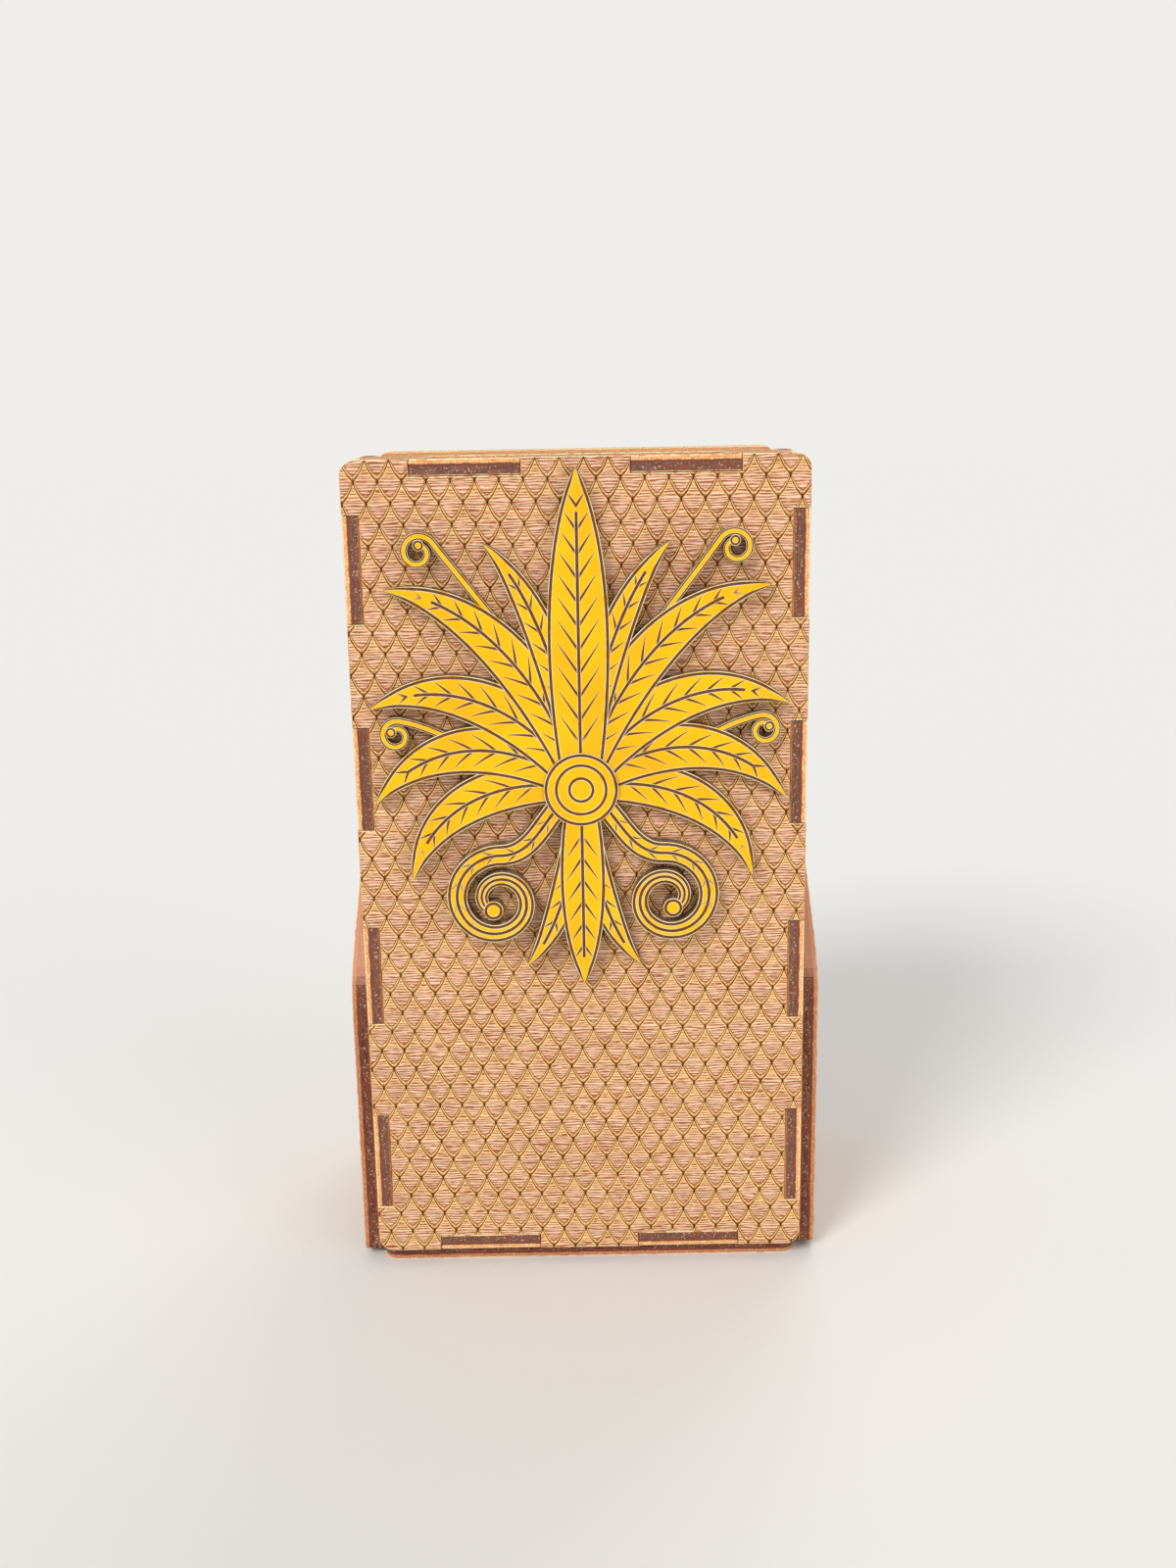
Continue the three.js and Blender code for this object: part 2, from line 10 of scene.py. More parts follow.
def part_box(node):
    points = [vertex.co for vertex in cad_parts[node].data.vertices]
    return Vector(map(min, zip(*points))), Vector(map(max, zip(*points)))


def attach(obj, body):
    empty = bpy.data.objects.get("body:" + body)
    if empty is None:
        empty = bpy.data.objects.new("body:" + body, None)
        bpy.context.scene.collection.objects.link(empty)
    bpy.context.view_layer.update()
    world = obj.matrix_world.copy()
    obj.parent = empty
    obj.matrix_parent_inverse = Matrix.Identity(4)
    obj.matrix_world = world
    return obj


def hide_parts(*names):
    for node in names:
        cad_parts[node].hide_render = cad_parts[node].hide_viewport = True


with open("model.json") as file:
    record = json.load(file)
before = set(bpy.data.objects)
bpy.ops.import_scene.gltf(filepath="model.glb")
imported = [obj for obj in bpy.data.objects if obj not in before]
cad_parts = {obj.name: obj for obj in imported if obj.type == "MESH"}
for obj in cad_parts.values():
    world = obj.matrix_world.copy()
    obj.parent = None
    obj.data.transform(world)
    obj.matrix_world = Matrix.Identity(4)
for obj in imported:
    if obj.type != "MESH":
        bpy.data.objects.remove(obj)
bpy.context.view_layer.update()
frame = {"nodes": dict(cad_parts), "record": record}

# Sizes
mm = 0.001
ply = 3.2 * mm
glue_line = 0.1 * mm
rim_ease = 0.18 * mm
panel_height = 166 * mm
panel_bottom = ply + glue_line
panel_top = panel_bottom + panel_height
body_of = {name: body for body, names in frame["record"]["behaviour"]["bodies"].items() for name in names}

# The scale engraving: rows of scales that hang from nodes, each row half a scale along from the last
scale_width = 4.63 * mm
scale_drop = 4.14 * mm  # from one row to the next
scale_bend_share = 1.0  # how much steeper than a straight line a scale's side leaves its node
scale_bend_power = 1.7
scale_shift = 1.6 * mm  # from the panel's middle to a column of nodes
groove_depth = 0.09 * mm
groove_half = 0.12 * mm
fine_depth = 0.06 * mm  # the fine line inside each scale, above its tip
fine_half = 0.09 * mm
fine_gap = 0.5 * mm  # from the groove to the fine line
fine_node_share = 0.45  # what is left of that gap beside the nodes
fine_node_reach_share = 0.35  # how much of a scale's side that takes
tip_round_power = 9
round_from_share = 0.4  # where a scale starts to round toward its tip
face_skin = 0.01 * mm  # the engraved face below the plain one
slab_margin = 1 * mm
streak_pitch = 0.56 * mm  # from one dark streak of the engraved faces to the next

# The ornament, as the solid has it
emblem_width = 76 * mm
emblem_height = 103 * mm
emblem_bottom = panel_bottom + 61.5 * mm
emblem_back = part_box("emblem")[1].y
emblem_thickness = ply
heart_share = 0.39
heart_radius = 7.4 * mm
heart = np.array([0, emblem_bottom + heart_share * emblem_height])
fan_leaf_shares = [
    dict(lean=0.085, curl=0.05, length=0.5, width=0.09),
    dict(lean=0.185, curl=0.1, length=0.53, width=0.125),
    dict(lean=0.3, curl=0.14, length=0.43, width=0.13),
    dict(lean=0.43, curl=0.16, length=0.395, width=0.13),
    dict(lean=0.575, curl=0.15, length=0.375, width=0.12),
]
low_leaf_shares = dict(lean=0.93, curl=-0.05, length=0.37, width=0.08)
crown_shares = dict(lean=0, curl=0, length=0.605, width=0.16)
pendant_shares = dict(lean=1, curl=0, length=0.39, width=0.12)
spine_shares = [(0.4, -1), (0.8, -0.3), (1, 0.55)]
leaf_root_share = 0.18
leaf_fullness = 0.8
scroll_widths = (4.4 * mm, 2.2 * mm)
scroll_shares = dict(x=0.225, z=0.17, outer=0.125, eye=0.03, start=0.27, turns=1.45, leave=0.62, hold=0.36)
tendril_widths = (1.5 * mm, 1.2 * mm)
upper_tendril_shares = dict(
    x=0.4, z=0.845, outer=0.045, eye=0.018, start=0.42, turns=1.15, leave=0.06, hold=0.38
)
lower_tendril_shares = dict(
    x=0.475, z=0.5, outer=0.04, eye=0.016, start=0.3, turns=1.2, leave=0.5, hold=0.3
)
eye_share = 0.9

# Colours


def paint(red, green, blue):
    """A colour as a shader wants it, from its values of 0 to 255 on a screen."""
    def linear(value):
        # The standard curve of screen colours
        value /= 255
        return value / 12.92 if value < 0.04045 else ((value + 0.055) / 1.055) ** 2.4

    return (linear(red), linear(green), linear(blue), 1)


field_low = paint(230, 173, 133)
field_high = paint(236, 174, 134)
field_rose = paint(216, 152, 118)
field_gold = paint(248, 180, 100)
halo_gold = paint(255, 212, 128)
band_gold = paint(255, 216, 136)
line_brown = paint(134, 58, 8)
fine_brown = paint(168, 84, 22)
node_brown = paint(92, 38, 6)
grain_brown = paint(146, 74, 26)
grain_pale = paint(255, 236, 208)
top_band_orange = paint(246, 178, 116)
rim_cream = paint(255, 238, 190)
veneer_pale = paint(222, 184, 132)
veneer_tan = paint(196, 150, 100)
rim_tan = paint(240, 184, 118)
edge_orange = paint(246, 176, 110)
edge_rust = paint(190, 112, 62)
edge_red = paint(142, 74, 44)
edge_core = paint(106, 70, 60)
edge_brown = paint(140, 92, 72)
edge_speck = paint(230, 196, 164)
# the painted highlight on edge slopes that face up
painted_lit_slope = paint(238, 178, 146)
wall_core = paint(104, 52, 40)
wall_outer = paint(200, 130, 92)
gold_bright = paint(255, 200, 2)
gold_deep = paint(250, 184, 0)
gold_dark = paint(80, 40, 12)
gold_line = paint(116, 64, 24)
gold_rim = paint(255, 236, 176)
side_grey = paint(156, 130, 106)
side_brown = paint(104, 78, 58)
char_dark = paint(84, 50, 28)
speck_dark = paint(70, 44, 32)
dowel_pale = paint(214, 176, 124)
dowel_dark = paint(176, 132, 84)
nickel_grey = paint(190, 191, 194)

# Material building blocks

# Places of the sockets that a mix node has for colours
mix_share, mix_first, mix_second, mix_result = 0, 6, 7, 2


class Shader:
    """A new material with its nodes, and short ways to add to them."""

    def __init__(self, name):
        self.material = bpy.data.materials.new(name)
        self.material.use_nodes = True
        self.tree = self.material.node_tree
        self.surface = self.tree.nodes["Principled BSDF"]

    def node(self, kind, settings=(), inputs=()):
        made = self.tree.nodes.new(kind)
        for key, value in dict(settings).items():
            setattr(made, key, value)
        for key, value in dict(inputs).items():
            self.set(made.inputs[key], value)
        return made

    def set(self, socket, value):
        if isinstance(value, bpy.types.NodeSocket):
            self.tree.links.new(value, socket)
        else:
            socket.default_value = value

    def math(self, operation, first, second=0.0):
        return self.node("ShaderNodeMath", {"operation": operation}, {0: first, 1: second}).outputs[0]

    def plus(self, first, second):
        return self.math("ADD", first, second)

    def minus(self, first, second):
        return self.math("SUBTRACT", first, second)

    def times(self, first, second):
        return self.math("MULTIPLY", first, second)

    def step(self, value, over, before, after):
        """A smooth step from before to after, while the value goes over a reach of two numbers."""
        inputs = {"Value": value, "From Min": over[0], "From Max": over[1], "To Min": before, "To Max": after}
        return self.node("ShaderNodeMapRange", {"interpolation_type": "SMOOTHSTEP"}, inputs).outputs[0]

    def rise(self, value, over, top=1.0):
        return self.step(value, over, 0.0, top)

    def fall(self, value, over, top=1.0):
        return self.step(value, over, top, 0.0)

    def mix(self, share, first, second):
        made = self.node("ShaderNodeMix", {"data_type": "RGBA", "blend_type": "MIX"})
        self.set(made.inputs[mix_share], share)
        self.set(made.inputs[mix_first], first)
        self.set(made.inputs[mix_second], second)
        return made.outputs[mix_result]

    def place(self, stretch=(1, 1, 1)):
        """Places on the piece, stretched along the axes."""
        coordinates = self.node("ShaderNodeTexCoord").outputs["Object"]
        return self.node("ShaderNodeMapping", {}, {"Vector": coordinates, "Scale": stretch}).outputs[0]

    def along(self, axis):
        """How far along an axis a place lies."""
        inputs = {0: self.place(), 1: tuple(axis)}
        return self.node("ShaderNodeVectorMath", {"operation": "DOT_PRODUCT"}, inputs).outputs["Value"]

    def height(self):
        return self.node("ShaderNodeSeparateXYZ", {}, {0: self.place()}).outputs["Z"]

    def upward(self):
        """How much the surface faces up, from -1 to 1."""
        facing = self.node("ShaderNodeTexCoord").outputs["Normal"]
        return self.node("ShaderNodeSeparateXYZ", {}, {0: facing}).outputs["Z"]

    def noise(self, cells, stretch=(1, 1, 1), detail=3.0, roughness=0.55):
        """Noise with so many cells a metre."""
        inputs = {"Vector": self.place(stretch), "Scale": cells, "Detail": detail, "Roughness": roughness}
        return self.node("ShaderNodeTexNoise", {}, inputs).outputs[0]

    def cell_distance(self, cells):
        """How far off the nearest of so many scattered points a metre a place lies, in cells."""
        inputs = {"Vector": self.place(), "Scale": cells}
        return self.node("ShaderNodeTexVoronoi", {}, inputs).outputs["Distance"]

    def attribute(self, name):
        return self.node("ShaderNodeAttribute", {"attribute_name": name}).outputs["Fac"]

    def bump(self, height, distance):
        inputs = {"Height": height, "Distance": distance, "Strength": 1.0}
        return self.node("ShaderNodeBump", {}, inputs).outputs[0]

    def finish(self, colour, roughness, normal=None, **constants):
        self.set(self.surface.inputs["Base Color"], colour)
        self.set(self.surface.inputs["Roughness"], roughness)
        if normal is not None:
            self.set(self.surface.inputs["Normal"], normal)
        for key, value in constants.items():
            self.surface.inputs[key.replace("_", " ")].default_value = value
        return self.material


def grain(axis, finer):
    """Stretch for the wood's streaks: long along one axis, so many times finer along the others."""
    return tuple(1.0 if i == axis else finer for i in range(3))


def engraved_wood(name, grain_axis, top_tint_and_highlight, shine):
    """Oiled birch veneer with burnt lines. Two numbers at a face's corners tell where in a scale they lie."""
    # Reaches in mm from the middle of a line: full colour up to the first number, none past the second
    groove_reach = 0.12, 0.23
    fine_reach = 0.07, 0.15
    node_reach = 0.18, 0.5
    halo_reach = 0.33, 0.46
    line_wobble = 0.09  # in mm too
    streak_wander = 16  # radians
    speck_cells = 62
    band_shares = fine_share + 0.01, fine_share + 0.03
    whole_height = panel_bottom, panel_top
    top_band_heights = panel_top - 3 * mm, panel_top - 1.5 * mm
    highlight_heights = panel_top + 0.2 * mm, panel_top + 0.32 * mm
    scallop_height = 0.5 * mm
    relief_depth = 0.1 * mm
    streak_relief_share, groove_relief_share = 0.7, 0.5

    shader = Shader(name)
    first, second = [shader.math("FRACT", shader.attribute(key)) for key in ("scale_u", "scale_v")]
    high = shader.math("MAXIMUM", first, second)
    low = shader.math("MINIMUM", first, second)
    down = shader.times(shader.plus(first, second), 0.5)
    wobble = shader.times(shader.minus(shader.noise(cells=1100, detail=2), 0.5), line_wobble)

    def in_mm(share):
        """A share of a scale's side as a length, with the unsteady edge of a burnt line."""
        return shader.plus(shader.times(share, scale_side_length / mm), wobble)

    to_groove = in_mm(shader.math("MINIMUM", low, shader.minus(1.0, high)))
    to_fine = in_mm(shader.math("ABSOLUTE", shader.minus(high, fine_share)))
    to_node = [shader.math("PINGPONG", share, 0.5) for share in (first, second)]
    to_node = in_mm(shader.math("MAXIMUM", *to_node))
    height = shader.height()
    # Veneer: streaks, fibres and broad patches, a little brighter higher up
    wander = shader.noise(cells=110, stretch=grain(grain_axis, finer=6), detail=2)
    across = shader.along(0.0 if i == grain_axis else 1.0 for i in range(3))
    turns = shader.times(across, 2 * math.pi / streak_pitch)
    streaks = shader.math("SINE", shader.plus(turns, shader.times(wander, streak_wander)))
    breaks = shader.noise(cells=480, stretch=grain(grain_axis, finer=2.5), detail=2)
    fibres = shader.noise(cells=420, stretch=grain(grain_axis, finer=11))
    patches = shader.noise(cells=30, stretch=grain(grain_axis, finer=2.2))
    field = shader.mix(shader.rise(height, whole_height), field_low, field_high)
    field = shader.mix(shader.rise(patches, over=(0.4, 0.66), top=0.7), field, field_rose)
    field = shader.mix(shader.fall(down, over=(0.06, 0.6), top=0.75), field, field_gold)
    field = shader.mix(shader.rise(streaks, over=(-0.1, -0.8), top=0.6), field, grain_pale)
    unbroken = shader.step(breaks, over=(0.38, 0.56), before=0.2, after=0.85)
    dark = shader.times(shader.rise(streaks, over=(0.3, 0.8)), unbroken)
    field = shader.mix(dark, field, grain_brown)
    field = shader.mix(shader.rise(fibres, over=(0.54, 0.64), top=0.6), field, grain_brown)
    # Gold light along the groove and in the band between it and the fine line
    glow = shader.step(height, whole_height, before=1.0, after=0.75)
    halo_fade = shader.step(high, over=(0.75, 0.97), before=1.0, after=0.1)
    halo = shader.times(shader.fall(in_mm(low), halo_reach), halo_fade)
    field = shader.mix(shader.times(halo, glow), field, halo_gold)
    band_fade = shader.step(low, over=(0.35, 0.85), before=0.95, after=0.45)
    band = shader.times(shader.rise(high, band_shares), band_fade)
    field = shader.mix(shader.times(band, glow), field, band_gold)
    # Burnt lines and nodes, and a few dark specks
    uneven = shader.noise(cells=140, detail=2)
    burn_patch = shader.step(uneven, over=(0.3, 0.7), before=0.72, after=1.0)
    fine = shader.fall(to_fine, fine_reach, top=0.95)
    field = shader.mix(shader.times(fine, burn_patch), field, fine_brown)
    burn = shader.fall(to_groove, groove_reach)
    field = shader.mix(shader.times(burn, burn_patch), field, line_brown)
    field = shader.mix(shader.fall(to_node, node_reach, top=0.95), field, node_brown)
    specks = shader.cell_distance(speck_cells)
    field = shader.mix(shader.fall(specks, over=(0.018, 0.026), top=0.85), field, speck_dark)
    # More orange toward the top, with a scalloped cream edge that is a painted highlight
    field = shader.mix(shader.rise(height, top_band_heights, top_tint_and_highlight), field, top_band_orange)
    highlit_edge = shader.minus(height, shader.times(shader.math("PINGPONG", first, 0.5), scallop_height))
    field = shader.mix(shader.rise(highlit_edge, highlight_heights, top_tint_and_highlight), field, rim_cream)
    relief = shader.minus(shader.times(dark, -streak_relief_share), shader.times(burn, groove_relief_share))
    roughness = shader.step(fibres, over=(0.3, 0.7), before=0.44, after=0.6)
    return shader.finish(field, roughness, shader.bump(relief, relief_depth), Specular_IOR_Level=shine)


def plain_wood(name, grain_axis):
    """Bare birch veneer with its fine streaks."""
    relief_depth = 0.07 * mm
    shader = Shader(name)
    streaks = shader.noise(cells=300, stretch=grain(grain_axis, finer=12), detail=5, roughness=0.65)
    patches = shader.noise(cells=22, stretch=grain(grain_axis, finer=3))
    colour = shader.mix(shader.rise(patches, over=(0.3, 0.7)), veneer_pale, veneer_tan)
    colour = shader.mix(shader.rise(streaks, over=(0.48, 0.72), top=0.5), colour, grain_brown)
    roughness = shader.step(streaks, over=(0.3, 0.7), before=0.5, after=0.66)
    return shader.finish(colour, roughness, shader.bump(streaks, relief_depth))


# The layers of a plate's edge, as shares of its thickness from the inner face: where each starts, and where
# it shows fully
inner_veneer_shares = 0.12, 0.06
scorched_shares = 0.5, 0.56
outer_veneer_shares = 0.68, 0.74
rim_shares = 0.9, 0.96
ragged_share = 0.16
bright_spot_share = 0.7


def burnt_edge(name, axis, low, outward, core_colour, outer_colour, rim_strength):
    """A plate's laser-cut edge, from its outer veneer through the scorched core to the inner veneer, with a
    painted highlight on slopes that face up.
    """
    layer_squeeze = 9
    spot_relief_share = 0.6
    edge_shine = 0.2
    edge_roughness = 0.6
    relief_depth = 0.14 * mm
    shader = Shader(name)
    depth = shader.math("DIVIDE", shader.minus(shader.along(axis), low), ply)
    if outward < 0:
        depth = shader.minus(1.0, depth)
    ragged = shader.times(shader.minus(shader.noise(cells=600), 0.5), ragged_share)
    layer = shader.plus(depth, ragged)
    # Streaks run along the layers, burnt spots and bright fibre ends lie anywhere
    flattened = tuple(1 + layer_squeeze * abs(value) for value in axis)
    streaks = shader.noise(cells=300, stretch=flattened, detail=4, roughness=0.65)
    patches = shader.noise(cells=110, roughness=0.6)
    spots = shader.noise(cells=2600, detail=2, roughness=0.5)
    core = shader.mix(shader.rise(streaks, over=(0.4, 0.62)), core_colour, edge_brown)
    core = shader.mix(shader.rise(patches, over=(0.52, 0.7), top=0.6), core, edge_red)
    core = shader.mix(shader.rise(spots, over=(0.6, 0.68), top=0.75), core, edge_speck)
    scorched = shader.mix(shader.rise(streaks, over=(0.42, 0.6)), edge_red, core_colour)
    inner = shader.mix(0.5, edge_rust, core_colour)
    outer = shader.mix(shader.rise(streaks, over=(0.46, 0.68), top=0.7), outer_colour, edge_rust)
    bright = shader.rise(spots, over=(0.54, 0.62), top=bright_spot_share * rim_strength)
    outer = shader.mix(bright, outer, rim_cream)
    colour = shader.mix(shader.rise(layer, scorched_shares, top=0.85), core, scorched)
    colour = shader.mix(shader.rise(layer, outer_veneer_shares), colour, outer)
    colour = shader.mix(shader.rise(layer, inner_veneer_shares), colour, inner)
    colour = shader.mix(shader.rise(layer, rim_shares, rim_strength), colour, rim_cream)
    # Slopes that face up get a painted highlight, paler as if lit from above
    upward = shader.upward()
    not_level = shader.fall(upward, over=(0.85, 0.95), top=0.75)
    lit_slope_share = shader.times(shader.rise(upward, over=(0.25, 0.6)), not_level)
    colour = shader.mix(lit_slope_share, colour, painted_lit_slope)
    relief = shader.bump(shader.plus(streaks, shader.times(spots, spot_relief_share)), relief_depth)
    return shader.finish(colour, edge_roughness, relief, Specular_IOR_Level=edge_shine)


def pale_rim(name):
    """The eased edge of a face: tan where it runs upright, bright cream where it runs level."""
    rim_shine = 0.1
    rim_roughness = 0.6
    relief_depth = 0.06 * mm
    shader = Shader(name)
    patches = shader.noise(cells=520)
    level = shader.math("ABSOLUTE", shader.upward())
    colour = shader.mix(shader.rise(level, over=(0.3, 0.6)), rim_tan, rim_cream)
    colour = shader.mix(shader.rise(patches, over=(0.46, 0.66), top=0.8), colour, edge_rust)
    relief = shader.bump(patches, relief_depth)
    return shader.finish(colour, rim_roughness, relief, Specular_IOR_Level=rim_shine)


def gold_wood(name):
    """Gold-yellow satin paint over birch, with thin engraved veins where the leaf has them."""
    # Lengths in mm, as the leaf's own numbers are
    vein_slant = 1.5  # how far a vein runs along the leaf for each mm outward
    widest_vein, slimmest_vein = 0.42, 0.05  # half a vein's width near the rib and toward its end
    vein_end_shares = 0.62, 0.72  # of the leaf's half width
    first_vein = 9.0, 11.0  # along the leaf
    slim_halves = 1.7, 2.3  # leaves slimmer than this have no veins
    least_half = 0.1  # lengths are divided by half the leaf's width, which is zero at its tip
    # From outside a vein's edge, which is at zero, toward its middle: worn rim, burnt wall, burnt bottom
    rim_reach, wall_reach, bottom_reach = (-0.2, -0.04), (-0.04, 0.06), (0.05, 0.2)
    worn_share = 0.75
    fibre_relief_share = 0.3
    paint_shine = 0.25
    relief_depth = 0.14 * mm

    shader = Shader(name)
    patches = shader.noise(cells=60, detail=4)
    fibres = shader.noise(cells=420, stretch=grain(0, finer=9))
    colour = shader.mix(shader.rise(patches, over=(0.35, 0.7)), gold_bright, gold_deep)
    colour = shader.mix(shader.rise(fibres, over=(0.5, 0.75), top=0.2), colour, gold_deep)
    along = shader.attribute("leaf_along")
    across = shader.math("ABSOLUTE", shader.attribute("leaf_across"))
    half = shader.attribute("leaf_half")
    swept = shader.minus(along, shader.times(across, vein_slant))
    off_line = shader.math("PINGPONG", swept, vein_spacing / 2)
    share = shader.math("DIVIDE", across, shader.math("MAXIMUM", half, least_half))
    vein_half = shader.step(share, over=(0.1, 0.8), before=widest_vein, after=slimmest_vein)
    vein = shader.minus(vein_half, off_line)
    veined = shader.times(shader.rise(along, first_vein), shader.rise(half, slim_halves))
    veined = shader.times(veined, shader.fall(share, vein_end_shares))
    rim = shader.times(shader.rise(vein, rim_reach), veined)
    line = shader.times(shader.rise(vein, wall_reach), veined)
    colour = shader.mix(shader.times(rim, worn_share), colour, gold_rim)
    colour = shader.mix(line, colour, shader.mix(shader.rise(vein, bottom_reach), gold_dark, gold_line))
    relief = shader.bump(shader.minus(shader.times(fibres, fibre_relief_share), line), relief_depth)
    roughness = shader.step(patches, over=(0.3, 0.7), before=0.36, after=0.48)
    return shader.finish(colour, roughness, relief, Specular_IOR_Level=paint_shine)


def mottled(name, pale, dark, cells, over, roughness, relief_depth):
    """Two colours in small patches, with their relief."""
    shader = Shader(name)
    patches = shader.noise(cells)
    colour = shader.mix(shader.rise(patches, over), pale, dark)
    return shader.finish(colour, roughness, shader.bump(patches, relief_depth))


def engraved_line(name, pale, dark):
    """The burnt wall or bottom of a line engraved in the ornament."""
    relief_depth = 0.08 * mm
    return mottled(name, pale, dark, cells=700, over=(0.35, 0.7), roughness=0.6, relief_depth=relief_depth)


def painted_rim(name):
    """The eased edge of the ornament's face, with the paint worn pale."""
    relief_depth = 0.05 * mm
    return mottled(
        name, gold_rim, gold_deep, cells=500, over=(0.46, 0.7), roughness=0.5, relief_depth=relief_depth
    )


def ornament_edge(name):
    """The cut side of the ornament: grey-brown char with pale streaks through the plate."""
    side_roughness = 0.6
    relief_depth = 0.1 * mm
    shader = Shader(name)
    streaks = shader.noise(cells=520, stretch=(1, 0.2, 1), detail=4, roughness=0.7)
    colour = shader.mix(shader.rise(streaks, over=(0.4, 0.66)), side_brown, side_grey)
    colour = shader.mix(shader.rise(streaks, over=(0.62, 0.75), top=0.7), colour, gold_rim)
    return shader.finish(colour, side_roughness, shader.bump(streaks, relief_depth))


def dowel_wood(name):
    dowel_roughness = 0.55
    relief_depth = 0.05 * mm
    shader = Shader(name)
    streaks = shader.noise(cells=600, stretch=grain(0, finer=8), detail=4)
    colour = shader.mix(shader.rise(streaks, over=(0.35, 0.7)), dowel_pale, dowel_dark)
    return shader.finish(colour, dowel_roughness, shader.bump(streaks, relief_depth))


def nickel(name):
    relief_depth = 0.01 * mm
    shader = Shader(name)
    brushed = shader.noise(cells=900, stretch=(1, 1, 6))
    roughness = shader.step(brushed, over=(0.3, 0.7), before=0.2, after=0.34)
    return shader.finish(nickel_grey, roughness, shader.bump(brushed, relief_depth), Metallic=1.0)


# Mesh building blocks


def object_of(name, mesh):
    made = bpy.data.objects.new(name, mesh)
    bpy.context.scene.collection.objects.link(made)
    return made


def boolean(piece, other, operation):
    """Joins, cuts or trims piece with other, which is used up."""
    step = piece.modifiers.new("step", "BOOLEAN")
    step.operation = operation
    step.object = other
    step.solver = "MANIFOLD"
    step.material_mode = "TRANSFER"
    result = bpy.data.meshes.new_from_object(piece.evaluated_get(bpy.context.evaluated_depsgraph_get()))
    piece.modifiers.remove(step)
    old = piece.data
    piece.data = result
    bpy.data.meshes.remove(old)
    spent = other.data
    bpy.data.objects.remove(other)
    bpy.data.meshes.remove(spent)


def place_on(piece, node, extra=()):
    """The piece stands for its CAD node and moves with that node's body."""
    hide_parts(node, *extra)
    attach(piece, body_of[node])


# Scale engraving as a surface: every scale is a bent rhombus between two families of grooves


def scale_side(share):
    """A scale's side from a node down to the tip, as (across, down) for a share of the way across."""
    drop = share * (1 + scale_bend_share * (1 - share) ** scale_bend_power)
    return np.stack([share * scale_width / 2, -drop * scale_drop], axis=-1)


side_point_count = 201  # enough to measure lengths along the bent side
side_steps = np.linspace(0, 1, side_point_count)
side_points = scale_side(side_steps)
side_lengths = np.concatenate([[0], np.cumsum(np.linalg.norm(np.diff(side_points, axis=0), axis=1))])
scale_side_length = side_lengths[-1]
groove_share = groove_half / scale_side_length
fine_share = 1 - fine_gap / scale_side_length
fine_half_share = fine_half / scale_side_length
field_shares = [groove_share, 0.3, 0.58]
fine_shares = [fine_share - fine_half_share, fine_share, fine_share + fine_half_share]
line_shares = [0, *field_shares, *fine_shares, 1 - groove_share]
fine_step = line_shares.index(fine_share)
line_shares = np.array(line_shares)


def bent(places):
    """Places in a scale, moved so that the fine line rounds the tip and draws in to the side nodes."""
    high = places.max(axis=1)
    turning_points = [round_from_share, fine_shares[0], fine_shares[2], 1 - groove_share]
    weight = np.interp(high, turning_points, [0, 1, 1, 0])
    rounded = (places**tip_round_power).sum(axis=1) ** (1 / tip_round_power)
    places = places * (1 + weight * (high / np.maximum(rounded, groove_share) - 1))[:, None]
    near_node = np.clip(1 - places[:, ::-1] / fine_node_reach_share, 0, 1)
    draw = (1 - fine_node_share) * weight[:, None] * near_node * (places == places.max(axis=1)[:, None])
    return places + draw * (1 - places)


def scale_net(low, high, origin):
    """The scales over a rectangle: points, depths, faces, and where in a scale each face's corners lie."""
    steps = len(line_shares)
    left, right = low[0] - slab_margin, high[0] + slab_margin
    lower, upper = low[1] - slab_margin, high[1] + slab_margin
    rows = np.arange(
        int((origin[1] - upper) / scale_drop) - 2,
        int((origin[1] - lower) / scale_drop) + 1,
    )
    half_columns = np.arange(
        math.ceil(2 * (left - origin[0]) / scale_width) - 1,
        math.floor(2 * (right - origin[0]) / scale_width) + 2,
    )
    row, column = [grid.ravel() for grid in np.meshgrid(rows, half_columns)]
    row, column = row[(row + column) % 2 == 0], column[(row + column) % 2 == 0]
    scales = np.stack([(row + column) // 2, (row - column) // 2], axis=1)
    # Each scale has its own square of steps by steps faces, and neighbours share the points between them
    i, j = [grid.ravel() for grid in np.meshgrid(range(steps), range(steps))]
    corners = np.stack([[i, i, i + 1, i + 1], [j, j + 1, j + 1, j]]).transpose(2, 1, 0)
    corners = (scales[:, None, None] * steps + corners).reshape(-1, 2)
    found, faces = np.unique(corners, axis=0, return_inverse=True)
    whole, step = found // steps, found % steps
    sides = scale_side(np.interp(bent(line_shares[step]) * scale_side_length, side_lengths, side_steps))
    stride = np.array([scale_width / 2, -scale_drop])
    forward = sides[:, 0] + whole[:, :1] * stride
    backward = sides[:, 1] + whole[:, 1:] * stride
    points = np.array(origin) + forward + backward * (-1, 1)
    on_fine = step.max(axis=1) == fine_step
    depths = np.where(step.min(axis=1) == 0, groove_depth, np.where(on_fine, fine_depth, 0))
    return points, depths, faces.reshape(-1, 4), corners // steps + line_shares[corners % steps]


